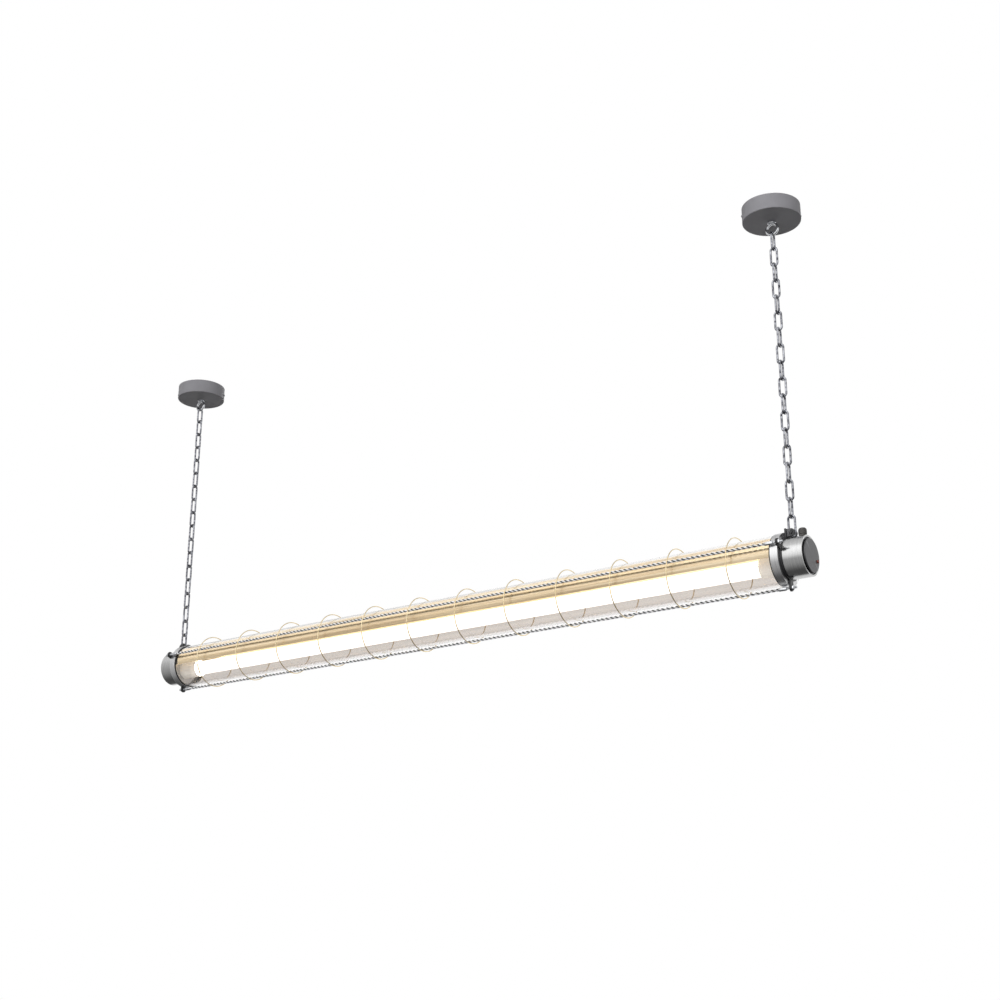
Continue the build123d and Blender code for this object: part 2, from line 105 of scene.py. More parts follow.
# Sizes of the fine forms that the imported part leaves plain
CANOPY_EDGE = 1.6 * MM
SCREW_TURN = math.radians(35)
SCREW_DROP = 15.5 * MM
SCREW_RADIUS = 2.4 * MM
SCREW_RIM = 1.4 * MM
SCREW_CROWN = 2.3 * MM
SCREW_SINK = 0.3 * MM
WELD_SWELLING = 0.16
HOOP_FLATS_REACH = 0.95  # of the round wire's radius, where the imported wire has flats
STAY_RADIUS = 2.47 * MM
STAY_STRANDS = 2
STAY_LAY = 16.6 * MM
STAY_CORE = 0.45  # of a strand's radius
STUD_PITCH = 0.7 * MM
THREAD_RADIUS = 0.22 * MM
HOLDER_GROOVES = 3
HOLDER_GROOVE_START = 2.2 * MM
HOLDER_GROOVE_STEP = 3.52 * MM
HOLDER_GROOVE_DEPTH = 0.35 * MM
HOLDER_FLOOR_GAP = 0.2 * MM
GLAND_NUT_SIDE = 5.5 * MM
GLAND_DOME_STEPS = 6
GRIP_START = 0.8 * MM
GRIP_END = 5.6 * MM
GRIP_WIDTH = 5  # degrees, and there is a flat at every third such step
GRIP_FROM = 0.9  # of the nut's radius, so that only its side has flats
GRIP_WAIST = 0.93  # of the nut's radius

# The camera stands in front, to the right and below, and looks up at the light
CAMERA_PLACE = (1.4791, -1.9665, -1.2145)
CAMERA_YAW = math.radians(-34.860)
CAMERA_PITCH = math.radians(19.042)
CAMERA_LENS = 54.0
FLOOR_HEIGHT = -2.3
FLOOR_REACH = 40.0
FLOOR_GLOW = 0.6
LAMP_STRENGTH = 16.0
LAMP_SHARE_SEEN = 0.1

slot_of = {row["node"]: row["material_slot"] for row in frame["record"]["subparts"]}
body_of = {node: body for body, empty in frame["bodies"].items()
           for node, thing in frame["nodes"].items() if thing.parent is empty}


# Places read from the frame

def middle(node):
    low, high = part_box(node)
    return (low + high) / 2


def reach(node, axis):
    """Lowest and highest place of a node along an axis."""
    low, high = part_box(node)
    return low[axis], high[axis]


def half_width(node, axis):
    low, high = reach(node, axis)
    return (high - low) / 2


TUBE_Z = middle("glass_tube").z
LAMP_Z = middle("lamp_tube").z
GLASS_RADIUS = half_width("glass_tube", 1)


# Nodes of materials, of the world and of groups

class NodeMaker:
    """Makes the nodes of a tree."""

    def __init__(self, tree):
        self.tree = tree
        self.nodes = tree.nodes

    def feed(self, node, **sockets):
        """Give a node's sockets, by name or as i0, i1 and so on, a value or another's output."""
        for label, value in sockets.items():
            key = int(label[1:]) if label[1:].isdigit() else label.replace("_", " ")
            if isinstance(value, bpy.types.NodeSocket):
                self.tree.links.new(value, node.inputs[key])
            else:
                node.inputs[key].default_value = value

    def node(self, kind, properties=None, **sockets):
        """The outputs of a new node."""
        made = self.nodes.new(kind)
        for label, value in (properties or {}).items():
            setattr(made, label, value)
        self.feed(made, **sockets)
        return made.outputs

    def number(self, operation, *values):
        """A number worked out from others."""
        sockets = {f"i{index}": value for index, value in enumerate(values)}
        return self.node("ShaderNodeMath", {"operation": operation}, **sockets)[0]

    def vector(self, **axes):
        return self.node("ShaderNodeCombineXYZ", **axes)[0]

    def axes(self, vector):
        """X, Y and Z of a vector."""
        return self.node("ShaderNodeSeparateXYZ", i0=vector)

    def scaled(self, vector, factor):
        return self.node("ShaderNodeVectorMath", {"operation": "SCALE"}, i0=vector,
                         Scale=factor)[0]

    def on_piece(self):
        """Where a point lies on its piece."""
        return self.node("ShaderNodeTexCoord")["Object"]

    def noise(self, place, detail=4.0):
        return self.node("ShaderNodeTexNoise", Vector=place, Scale=1.0, Detail=detail,
                         Roughness=0.55)[0]


class NodeGroup(NodeMaker):
    """A node group in the making, with inputs given as name=default."""

    KINDS = {int: "NodeSocketInt", float: "NodeSocketFloat", tuple: "NodeSocketVector"}

    def __init__(self, name, kind="ShaderNodeTree", **inputs):
        super().__init__(bpy.data.node_groups.new(name, kind))
        for label, value in inputs.items():
            socket = self.add_socket(label.replace("_", " "), self.KINDS[type(value)])
            socket.default_value = value
        self.given = self.nodes.new("NodeGroupInput").outputs

    def add_socket(self, label, kind, in_out="INPUT"):
        return self.tree.interface.new_socket(name=label, in_out=in_out, socket_type=kind)

    def put_out(self, kind="NodeSocketFloat", **results):
        """The finished group, with these outputs."""
        for label in results:
            self.add_socket(label, kind, in_out="OUTPUT")
        self.feed(self.nodes.new("NodeGroupOutput"), **results)
        return self.tree


# Shader groups for what several finishes share

def turned_rings_group():
    """Fine rings of a lathe tool about the tube's axis, on rims and on end faces alike."""
    group = NodeGroup("turned_rings", Axis_Height=TUBE_Z, Rings_Per_Metre=1500.0, Change_Round=1.5)
    given, number = group.given, group.number
    place = group.axes(group.on_piece())
    lift = number("SUBTRACT", place["Z"], given["Axis Height"])
    across = number("MULTIPLY", place["Y"], place["Y"])
    radius = number("SQRT", number("ADD", number("MULTIPLY", lift, lift), across))
    turn = number("ARCTAN2", lift, place["Y"])
    rings = group.vector(X=number("MULTIPLY", place["X"], given["Rings Per Metre"]),
                         Y=number("MULTIPLY", radius, given["Rings Per Metre"]),
                         Z=number("MULTIPLY", turn, given["Change Round"]))
    return group.put_out(Rings=group.noise(rings))


def drawn_lines_group():
    """Streaks left by rolling or brushing, stretched by a scale for each axis."""
    group = NodeGroup("drawn_lines", Lines_Per_Metre=(3.0, 500.0, 500.0))
    stretched = group.node("ShaderNodeVectorMath", {"operation": "MULTIPLY"}, i0=group.on_piece(),
                           i1=group.given["Lines Per Metre"])[0]
    return group.put_out(Lines=group.noise(stretched))


def patches_group():
    """Soft blotches and a fine grain, for paint, plating, rubber and plastic."""
    group = NodeGroup("patches", Blotches_Per_Metre=60.0, Grains_Per_Metre=1800.0)
    place = group.on_piece()
    blotches = group.scaled(place, group.given["Blotches Per Metre"])
    grains = group.scaled(place, group.given["Grains Per Metre"])
    return group.put_out(Blotches=group.noise(blotches, detail=3.0),
                         Grain=group.noise(grains, detail=2.0))


def edge_rub_group():
    """A mask of the outer edges, where handling rubs a finish bright."""
    group = NodeGroup("edge_rub", Start=0.52, Full=0.62)
    edges = group.node("ShaderNodeNewGeometry")["Pointiness"]
    return group.put_out(Rub=group.node("ShaderNodeMapRange", Value=edges,
                                        From_Min=group.given["Start"],
                                        From_Max=group.given["Full"])[0])


TURNED_RINGS = turned_rings_group()
DRAWN_LINES = drawn_lines_group()
PATCHES = patches_group()
EDGE_RUB = edge_rub_group()


# Finishes, kept by name; those of the pieces are named for the record's slots

FINISHES = {}

# Noise seldom leaves these levels, so shades and ranges run from one to the other
NOISE_LOW = 0.3
NOISE_HIGH = 0.7

# How much brighter rubbed metal is than its light shade
RUBBED_METAL_GAIN = 1.35

# How far the glass moves along its shades from the tube's middle to its top; this painted lightening
# leaves the lower half darker, as painted shade
GLASS_TOP_GAIN = 0.5


class Finish(NodeMaker):
    """A material with one Principled shader, whose sockets are given by name."""

    def __init__(self, name, **settings):
        material = FINISHES[name] = bpy.data.materials.new(name)
        material.use_nodes = True
        super().__init__(material.node_tree)
        self.shade(**settings)

    def shade(self, **sockets):
        self.feed(self.nodes["Principled BSDF"], **sockets)

    def marks(self, group, **values):
        """The outputs of a shader group with these inputs."""
        return self.node("ShaderNodeGroup", {"node_tree": group}, **values)

    def patches(self, blotches, grains):
        """Blotches and grain, by how many a metre has of each."""
        marks = self.marks(PATCHES, Blotches_Per_Metre=blotches, Grains_Per_Metre=grains)
        return marks["Blotches"], marks["Grain"]

    def colours(self, factor, *shades):
        """A colour from a factor, through shades given as (position, colour)."""
        ramp = self.nodes.new("ShaderNodeValToRGB")
        stops = ramp.color_ramp.elements
        while len(stops) < len(shades):
            stops.new(0.5)
        for stop, (position, colour) in zip(stops, shades):
            stop.position = position
            stop.color = (*colour, 1)
        self.feed(ramp, Fac=factor)
        return ramp.outputs["Color"]

    def two_shades(self, noise, dark, light):
        return self.colours(noise, (NOISE_LOW, dark), (NOISE_HIGH, light))

    def between(self, noise, low, high):
        return self.node("ShaderNodeMapRange", Value=noise, From_Min=NOISE_LOW, From_Max=NOISE_HIGH,
                         To_Min=low, To_Max=high)[0]

    def rubbed(self, colour, bare, **limits):
        """A colour that gives way to a bare one on rubbed edges."""
        rub = self.marks(EDGE_RUB, **limits)["Rub"]
        # A mix of colours takes them at i6 and i7, and its result is the third output
        return self.node("ShaderNodeMix", {"data_type": "RGBA"}, i0=rub, i6=colour,
                         i7=(*bare, 1))[2]

    def relief(self, height, distance, strength):
        return self.node("ShaderNodeBump", Height=height, Distance=distance, Strength=strength)[0]


def turned_metal(name, dark, light, rough, rings=1500.0):
    """Bare metal with lathe rings."""
    finish = Finish(name, Metallic=1.0)
    lines = finish.marks(TURNED_RINGS, Rings_Per_Metre=rings)["Rings"]
    bare = [min(1.0, RUBBED_METAL_GAIN * part) for part in light]
    finish.shade(Base_Color=finish.rubbed(finish.two_shades(lines, dark, light), bare),
                 Roughness=finish.between(lines, *rough),
                 Normal=finish.relief(lines, distance=0.02 * MM, strength=0.5))


def plated_metal(name, dark, light, rough, metallic=1.0):
    """Plated or drawn wire: soft blotches in colour, and a fine grain in gloss and relief."""
    finish = Finish(name, Metallic=metallic)
    blotches, grain = finish.patches(blotches=220.0, grains=2500.0)
    finish.shade(Base_Color=finish.two_shades(blotches, dark, light),
                 Roughness=finish.between(grain, *rough),
                 Normal=finish.relief(grain, distance=0.02 * MM, strength=0.4))


def coated(name, dark, light, rough, grains=1800.0, blotches=40.0, rubbed=None, **settings):
    """Paint, plastic or rubber: blotches in colour, and a grain in gloss and relief."""
    finish = Finish(name, **settings)
    spots, grain = finish.patches(blotches, grains)
    colour = finish.two_shades(spots, dark, light)
    if rubbed:
        colour = finish.rubbed(colour, rubbed, Start=0.54, Full=0.66)
    finish.shade(Base_Color=colour, Roughness=finish.between(grain, *rough),
                 Normal=finish.relief(grain, distance=0.04 * MM, strength=0.5))


def twisted_metal(name, groove, crown, rough):
    """Twisted wire: painted shade in the grooves between the strands, and a painted highlight on
    their crowns.
    """
    finish = Finish(name, Metallic=0.0)
    height = finish.node("ShaderNodeAttribute", {"attribute_name": "crown"})["Fac"]
    blotches, grain = finish.patches(blotches=150.0, grains=3000.0)
    finish.shade(Base_Color=finish.colours(height, (0.68, groove), (0.77, crown)),
                 Roughness=finish.between(blotches, *rough),
                 Normal=finish.relief(grain, distance=0.02 * MM, strength=0.3))


def gold_sheet():
    """Gold-coloured sheet with streaks along the tube."""
    finish = Finish("gold_sheet", Metallic=1.0)
    lines = finish.marks(DRAWN_LINES, Lines_Per_Metre=(2.5, 260.0, 260.0))["Lines"]
    colour = finish.colours(lines, (0.32, (0.72, 0.55, 0.31)), (0.5, (0.90, 0.74, 0.46)),
                            (0.66, (1.0, 0.88, 0.62)))
    finish.shade(Base_Color=colour, Roughness=finish.between(lines, 0.42, 0.28),
                 Normal=finish.relief(lines, distance=0.05 * MM, strength=0.5))


def clear_glass():
    """Slightly warm clear glass with faint lengthwise draw lines, clearer towards its top: painted
    shade in the lower half, lightening upwards.
    """
    finish = Finish("clear_glass", Transmission_Weight=1.0, IOR=1.47)
    lines = finish.marks(DRAWN_LINES, Lines_Per_Metre=(1.2, 90.0, 90.0))["Lines"]
    lift = finish.number("SUBTRACT", finish.axes(finish.on_piece())["Z"], TUBE_Z)
    upper = finish.number("MAXIMUM", lift, 0.0)
    clear = finish.number("MULTIPLY_ADD", upper, GLASS_TOP_GAIN / GLASS_RADIUS, lines)
    colour = finish.colours(clear, (NOISE_LOW, (0.80, 0.772, 0.752)),
                            (NOISE_HIGH, (0.90, 0.872, 0.850)), (0.92, (0.985, 0.98, 0.975)))
    finish.shade(Base_Color=colour, Roughness=finish.between(lines, 0.0, 0.012))


def lamp_opal():
    """The lit opal tube, a little dimmer in its first few millimetres at each end.

    It is seen just past white, so that the hoops show against it, and lights what is near."""
    finish = Finish("lamp_opal", Roughness=0.35, Emission_Strength=LAMP_STRENGTH)
    number = finish.number
    rays = finish.node("ShaderNodeLightPath")
    seen = number("MAXIMUM", rays["Is Camera Ray"], rays["Is Transmission Ray"])
    seen = number("MAXIMUM", seen, rays["Is Glossy Ray"])
    share_seen = finish.node("ShaderNodeMapRange", Value=seen, To_Min=1.0,
                             To_Max=LAMP_SHARE_SEEN)[0]
    blotches, _ = finish.patches(blotches=30.0, grains=900.0)
    along = number("ABSOLUTE", finish.axes(finish.on_piece())["X"])
    share = number("DIVIDE", along, reach("lamp_tube", 0)[1])
    tint = finish.colours(share, (0.955, (1.0, 0.985, 0.95)), (0.985, (0.75, 0.68, 0.58)))
    finish.shade(Base_Color=finish.two_shades(blotches, (0.86, 0.85, 0.82), (0.90, 0.89, 0.87)),
                 Emission_Color=finish.scaled(tint, share_seen))


coated("canopy_grey", (0.285, 0.281, 0.300), (0.322, 0.318, 0.338), (0.42, 0.52),
       grains=1400.0, blotches=30.0, Specular_IOR_Level=0.2)
plated_metal("zinc_steel", (0.48, 0.49, 0.50), (0.60, 0.61, 0.62), (0.30, 0.45))
plated_metal("bright_steel", (0.56, 0.57, 0.59), (0.72, 0.73, 0.75), (0.14, 0.26))
# The chain's near-black blotches are painted dark reflection, which gives the links their dark and
# bright speckle
plated_metal("chain_steel", (0.014, 0.014, 0.022), (0.52, 0.53, 0.57), (0.08, 0.2))
clear_glass()
gold_sheet()
# The steel hoops' warm gold-brown is painted light: it copies the lamp's warm light and the gold
# sheet's reflection on them
plated_metal("hoop_steel", (0.72, 0.58, 0.36), (0.90, 0.78, 0.54), (0.12, 0.22), metallic=0.95)
# The rope's near-black grooves and near-white crowns are painted shade and painted highlight
twisted_metal("rope_steel", (0.045, 0.045, 0.055), (0.93, 0.935, 0.95), (0.18, 0.3))
turned_metal("bright_ring", (0.55, 0.55, 0.555), (0.72, 0.72, 0.725), (0.26, 0.36))
coated("black_rubber", (0.010, 0.010, 0.011), (0.018, 0.018, 0.019), (0.55, 0.7))
coated("black_steel", (0.012, 0.012, 0.013), (0.022, 0.022, 0.024), (0.30, 0.42),
       rubbed=(0.10, 0.10, 0.105))
# The lampholder's faint glow is painted light: it stands in for the lamp's light falling on it,
# though the holder is no lamp
coated("holder_white", (0.86, 0.83, 0.77), (0.91, 0.88, 0.83), (0.32, 0.45),
       Emission_Color=(1.0, 0.95, 0.86, 1.0), Emission_Strength=0.36)
turned_metal("satin_aluminium", (0.46, 0.46, 0.46), (0.58, 0.58, 0.575), (0.15, 0.24))
turned_metal("brushed_cover", (0.065, 0.065, 0.067), (0.145, 0.145, 0.15), (0.30, 0.42), rings=900.0)
coated("red_plug", (0.24, 0.075, 0.055), (0.31, 0.105, 0.080), (0.28, 0.4))
coated("gland_grey", (0.045, 0.042, 0.039), (0.066, 0.062, 0.057), (0.38, 0.5))
coated("lead_white", (0.66, 0.66, 0.64), (0.72, 0.72, 0.70), (0.4, 0.5))
lamp_opal()
plated_metal("contact_brass", (0.62, 0.43, 0.18), (0.78, 0.57, 0.26), (0.2, 0.34))
coated("board_white", (0.74, 0.74, 0.72), (0.80, 0.80, 0.78), (0.4, 0.55))


# Meshes

# An edge with more turn than this is shaded sharp
SHARP_TURN = math.radians(32)

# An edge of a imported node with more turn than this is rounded
ROUNDED_TURN = math.radians(40)

# A smaller radius than this is a point on the axis
ON_AXIS = 1e-7

# How much of a side a rounding may take up, and where the point beside it stands, in roundings
ROUNDING_SHARE = 0.4
BESIDE_ROUNDING = 1.2


def smooth(mesh):
    mesh.shade_smooth()
    mesh.set_sharp_from_angle(angle=SHARP_TURN)
    return mesh


def mesh_from(builder):
    mesh = bpy.data.meshes.new("shape")
    builder.to_mesh(mesh)
    builder.free()
    return mesh


def closed_mesh(builder):
    """The mesh of a closed shape, with its faces outwards."""
    bmesh.ops.recalc_face_normals(builder, faces=builder.faces)
    return smooth(mesh_from(builder))


def combined(*meshes):
    """One mesh of several."""
    builder = bmesh.new()
    for mesh in meshes:
        builder.from_mesh(mesh)
    return mesh_from(builder)


def eased(points, size, steps=3):
    """A closed outline whose corners off the axis are rounded.

    A point a little before and after each corner keeps the long faces evenly shaded."""
    outline = []
    for index, point in enumerate(points):
        here = Vector(point)
        if here.y < ON_AXIS:
            outline.append(here)
            continue
        back = Vector(points[index - 1]) - here
        ahead = Vector(points[(index + 1) % len(points)]) - here
        cut = min(size, ROUNDING_SHARE * back.length, ROUNDING_SHARE * ahead.length)
        start = here + back.normalized() * cut
        finish = here + ahead.normalized() * cut
        outline.append(here + back.normalized() * BESIDE_ROUNDING * cut)
        for step in range(steps + 1):
            share = step / steps
            outline.append((1 - share) ** 2 * start + 2 * share * (1 - share) * here
                           + share ** 2 * finish)
        outline.append(here + ahead.normalized() * BESIDE_ROUNDING * cut)
    return outline


def bar(start, end, radius, edge, steps=3):
    """The outline of a solid round bar."""
    return eased([(start, 0), (start, radius), (end, radius), (end, 0)], edge, steps)


def lathe(outline, place, segments):
    """A closed turned shape; the outline's points are (along, radius)."""
    builder = bmesh.new()
    rings = []
    for along, radius in outline:
        count = 1 if radius < ON_AXIS else segments
        rings.append([builder.verts.new(place(along, radius, math.tau * step / segments))
                      for step in range(count)])
    for ring, after in zip(rings, rings[1:] + rings[:1]):
        if len(ring) + len(after) == 2:
            continue
        for step in range(segments):
            beside = (step + 1) % segments
            corners = [ring[step % len(ring)], ring[beside % len(ring)],
                       after[beside % len(after)], after[step % len(after)]]
            builder.faces.new(list(dict.fromkeys(corners)))
    return closed_mesh(builder)


def along_x(outline, y=0.0, z=TUBE_Z, side=1, segments=128):
    """A shape turned about an axis along X; side -1 mirrors it to the left end."""
    return lathe(outline, lambda along, radius, turn: Vector(
        (side * along, y + radius * math.cos(turn), z + radius * math.sin(turn))), segments)


def along_y(outline, x, z, segments=48):
    return lathe(outline, lambda along, radius, turn: Vector(
        (x + radius * math.cos(turn), along, z + radius * math.sin(turn))), segments)


def upright(outline, x, segments=96):
    return lathe(outline, lambda along, radius, turn: Vector(
        (x + radius * math.cos(turn), radius * math.sin(turn), along)), segments)


def hexagon_bar(flats, start, end, place, bevel):
    """A hexagon bar with softened edges; place maps (along, right, up) to a point."""
    builder = bmesh.new()
    corner = flats / math.sqrt(3)
    turns = [math.tau * step / 6 for step in range(6)]
    first, last = [[builder.verts.new(place(along, corner * math.cos(turn), corner * math.sin(turn)))
                    for turn in turns] for along in (start, end)]
    builder.faces.new(first)
    builder.faces.new(last)
    for step in range(6):
        beside = (step + 1) % 6
        builder.faces.new([first[step], first[beside], last[beside], last[step]])
    bmesh.ops.recalc_face_normals(builder, faces=builder.faces)
    bmesh.ops.bevel(builder, geom=builder.edges[:], offset=bevel, segments=2, profile=0.6,
                    affect="EDGES")
    return smooth(mesh_from(builder))


def lying_hexagon(flats, length, bevel):
    """A hexagon bar along X from the origin, with two of its flats upright."""
    return hexagon_bar(flats, 0, length, lambda along, a, b: Vector((along, b, a)), bevel)


def upright_hexagon(flats, low, high, x, bevel):
    return hexagon_bar(flats, low, high, lambda z, a, b: Vector((x + a, b, z)), bevel)


def wire_ring(centre, radius, wire, segments=72, sides=20):
    """A closed ring of round wire in the XZ plane."""
    outline = [Vector((radius + wire / 2 * math.cos(math.tau * step / sides),
                       wire / 2 * math.sin(math.tau * step / sides))) for step in range(sides)]
    builder = bmesh.new()
    rows = []
    for step in range(segments):
        turn = math.tau * step / segments
        rows.append([builder.verts.new(centre + Vector((r * math.cos(turn), y, r * math.sin(turn))))
                     for r, y in outline])
    for step, row in enumerate(rows):
        after = rows[(step + 1) % segments]
        for side in range(sides):
            beside = (side + 1) % sides
            builder.faces.new([row[side], row[beside], after[beside], after[side]])
    return closed_mesh(builder)


def softened(node, width):
    """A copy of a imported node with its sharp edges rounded."""
    builder = bmesh.new()
    builder.from_mesh(frame["nodes"][node].data)
    bmesh.ops.remove_doubles(builder, verts=builder.verts, dist=1e-6)
    bmesh.ops.dissolve_limit(builder, angle_limit=math.radians(1), verts=builder.verts,
                             edges=builder.edges)
    sharp = [edge for edge in builder.edges
             if edge.is_manifold and edge.calc_face_angle() > ROUNDED_TURN]
    bmesh.ops.bevel(builder, geom=sharp, offset=width, segments=2, profile=0.6, affect="EDGES",
                    clamp_overlap=True)
    return smooth(mesh_from(builder))


# Geometry Nodes trees for what repeats or follows a path

class GrowthTree(NodeGroup):
    """A tree in the making, with a Finish among its inputs and one shape as its output."""

    def __init__(self, name, **inputs):
        super().__init__(name, "GeometryNodeTree", **inputs)
        self.add_socket("Finish", "NodeSocketMaterial")

    def place(self):
        """X, Y and Z of a point."""
        return self.axes(self.node("GeometryNodeInputPosition")[0])

    def on_circle(self, turn, radius):
        """Two coordinates of the point at a turn on a circle."""
        return [self.number("MULTIPLY", self.number(part, turn), radius)
                for part in ("COSINE", "SINE")]

    def circle(self, radius, steps):
        return self.node("GeometryNodeCurvePrimitiveCircle", Resolution=steps, Radius=radius)[0]

    def swept(self, curve, radius, sides, **options):
        """A round section along a curve."""
        return self.node("GeometryNodeCurveToMesh", Curve=curve,
                         Profile_Curve=self.circle(radius, sides), **options)[0]

    def rounded(self, shape):
        return self.node("GeometryNodeSetShadeSmooth", Geometry=shape)[0]

    def joined(self, *shapes):
        join = self.nodes.new("GeometryNodeJoinGeometry")
        for shape in shapes:
            self.feed(join, Geometry=shape)
        return join.outputs[0]

    def turned_about_z(self, turn):
        return self.node("FunctionNodeEulerToRotation", Euler=self.vector(Z=turn))[0]

    def closed(self, shape):
        """The finished tree, which puts out this shape."""
        whole = self.node("GeometryNodeRealizeInstances", Geometry=shape)[0]
        dressed = self.node("GeometryNodeSetMaterial", Geometry=whole,
                            Material=self.given["Finish"])[0]
        return self.put_out("NodeSocketGeometry", Geometry=dressed)


def chain_tree():
    """Welded long links on a line, each turned a quarter against the one above."""
    tree = GrowthTree("chain_links", Links=LINKS_BELOW_TOP, Top=(0.0, 0.0, 0.0), Step=LINK_STEP,
                      First_Turn=0.0, Wire=LINK_WIRE, End_Radius=LINK_END_RADIUS,
                      Half_Height=LINK_HALF_HEIGHT, Weld_Swelling=WELD_SWELLING)
    given, node, number = tree.given, tree.node, tree.number
    place = tree.place()
    straight = number("SUBTRACT", given["Half Height"], given["End Radius"])
    rise = number("MULTIPLY", number("SIGN", place["Y"]), straight)
    stretched = tree.vector(X=place["X"], Z=number("ADD", place["Y"], rise))
    oval = node("GeometryNodeSetPosition", Geometry=tree.circle(given["End Radius"], steps=64),
                Position=stretched)[0]
    path = node("GeometryNodeResampleCurve", Curve=oval, Count=80)[0]
    spot = tree.place()
    from_weld = number("DIVIDE", number("ABSOLUTE", spot["Z"]), given["Wire"])
    near = number("MAXIMUM", number("SUBTRACT", 1.0, from_weld), 0.0)
    welded_side = number("GREATER_THAN", spot["X"], 0.0)
    swelling = number("MULTIPLY", number("MULTIPLY", near, welded_side), given["Weld Swelling"])
    shaped = node("GeometryNodeSetCurveRadius", Curve=path, Radius=number("ADD", swelling, 1.0))[0]
    link = tree.rounded(tree.swept(shaped, number("DIVIDE", given["Wire"], 2.0), sides=14))
    drop = tree.vector(Z=number("MULTIPLY", given["Step"], -1.0))
    line = node("GeometryNodeMeshLine", Count=given["Links"], Start_Location=given["Top"],
                Offset=drop)[0]
    quarter = number("MULTIPLY", node("GeometryNodeInputIndex")[0], math.pi / 2)
    turned = tree.turned_about_z(number("ADD", quarter, given["First Turn"]))
    return tree.closed(node("GeometryNodeInstanceOnPoints", Points=line, Instance=link,
                            Rotation=turned)[0])


def hoop_tree():
    """Wire hoops square to the tube, at even steps along it."""
    tree = GrowthTree("guard_hoops", Hoops=HOOP_COUNT, First=(0.0, 0.0, 0.0), Pitch=0.1,
                      Radius=0.046, Wire=HOOP_WIRE)
    given, node = tree.given, tree.node
    place = tree.place()
    path = node("GeometryNodeSetPosition", Geometry=tree.circle(given["Radius"], steps=112),
                Position=tree.vector(Y=place["X"], Z=place["Y"]))[0]
    hoop = tree.rounded(tree.swept(path, tree.number("DIVIDE", given["Wire"], 2.0), sides=10))
    line = node("GeometryNodeMeshLine", Count=given["Hoops"], Start_Location=given["First"],
                Offset=tree.vector(X=given["Pitch"]))[0]
    return tree.closed(node("GeometryNodeInstanceOnPoints", Points=line, Instance=hoop)[0])


def twisted_bar_tree():
    """Strands wound about a straight core: a wire rope, or a stud with its thread."""
    tree = GrowthTree("twisted_bar", Start=(0.0, 0.0, 0.0), Length=1.0, Strands=STAY_STRANDS,
                      Lay=STAY_LAY, Points=600, Strand_Radius=0.0008, Winding_Radius=0.0009,
                      Core_Radius=0.0006, Strand_Sides=10)
    given, node, number = tree.given, tree.node, tree.number
    line = node("GeometryNodeCurvePrimitiveLine", End=tree.vector(X=given["Length"]))[0]
    path = node("GeometryNodeResampleCurve", Curve=line, Count=given["Points"])[0]
    copies = node("GeometryNodeDuplicateElements", {"domain": "SPLINE"}, Geometry=path,
                  Amount=given["Strands"])
    share = number("DIVIDE", copies["Duplicate Index"], given["Strands"])
    turns = number("ADD", number("DIVIDE", tree.place()["X"], given["Lay"]), share)
    y, z = tree.on_circle(number("MULTIPLY", turns, math.tau), given["Winding Radius"])
    wound = node("GeometryNodeSetPosition", Geometry=copies["Geometry"],
                 Offset=tree.vector(Y=y, Z=z))[0]
    strands = tree.swept(wound, given["Strand Radius"], given["Strand Sides"], Fill_Caps=True)
    core = tree.swept(line, given["Core Radius"], sides=24, Fill_Caps=True)
    spot = tree.place()
    squares = number("ADD", *(number("MULTIPLY", spot[axis], spot[axis]) for axis in "YZ"))
    outside = number("ADD", given["Strand Radius"], given["Winding Radius"])
    crown = number("DIVIDE", number("SQRT", squares), outside)
    # The crown, a point's distance from the axis over the rope's outer radius, places the rope
    # finish's painted groove shade and crown highlight
    marked = node("GeometryNodeStoreNamedAttribute", {"data_type": "FLOAT", "domain": "POINT"},
                  Geometry=tree.joined(core, strands), Name="crown", Value=crown)[0]
    return tree.closed(node("GeometryNodeTransform", Geometry=tree.rounded(marked),
                            Translation=given["Start"])[0])


def fastener_ring_tree():
    """Copies of one fastener round a circle, each turned with its place on it."""
    tree = GrowthTree("fastener_ring", Count=2, Radius=0.04, First_Turn=0.0,
                      Centre=(0.0, 0.0, 0.0))
    tree.add_socket("Fastener", "NodeSocketObject")
    given, node, number = tree.given, tree.node, tree.number
    shape = node("GeometryNodeObjectInfo", Object=given["Fastener"])["Geometry"]
    step = number("DIVIDE", math.tau, given["Count"])
    turn = number("ADD", number("MULTIPLY", node("GeometryNodeInputIndex")[0], step),
                  given["First Turn"])
    x, y = tree.on_circle(turn, given["Radius"])
    places = node("GeometryNodePoints", Count=given["Count"], Position=tree.vector(X=x, Y=y))[0]
    ring = node("GeometryNodeInstanceOnPoints", Points=places, Instance=shape,
                Rotation=tree.turned_about_z(turn))[0]
    return tree.closed(node("GeometryNodeTransform", Geometry=ring,
                            Translation=given["Centre"])[0])


def grown(tree, **values):
    """The plain mesh that a tree makes with these inputs."""
    carrier = bpy.data.objects.new("growing", bpy.data.meshes.new("growing"))
    bpy.context.scene.collection.objects.link(carrier)
    modifier = carrier.modifiers.new("growth", "NODES")
    modifier.node_group = tree
    sockets = {item.name: item.identifier for item in tree.interface.items_tree
               if item.item_type == "SOCKET" and item.in_out == "INPUT"}
    for label, value in values.items():
        modifier[sockets[label.replace("_", " ")]] = value
    depsgraph = bpy.context.evaluated_depsgraph_get()
    mesh = bpy.data.meshes.new_from_object(carrier.evaluated_get(depsgraph), depsgraph=depsgraph)
    carrier.modifiers.clear()
    bpy.data.objects.remove(carrier)
    return mesh


CHAIN_LINKS = chain_tree()
GUARD_HOOPS = hoop_tree()
TWISTED_BAR = twisted_bar_tree()
FASTENER_RING = fastener_ring_tree()


# Pieces

def finish_of(node):
    return FINISHES[slot_of[node]]


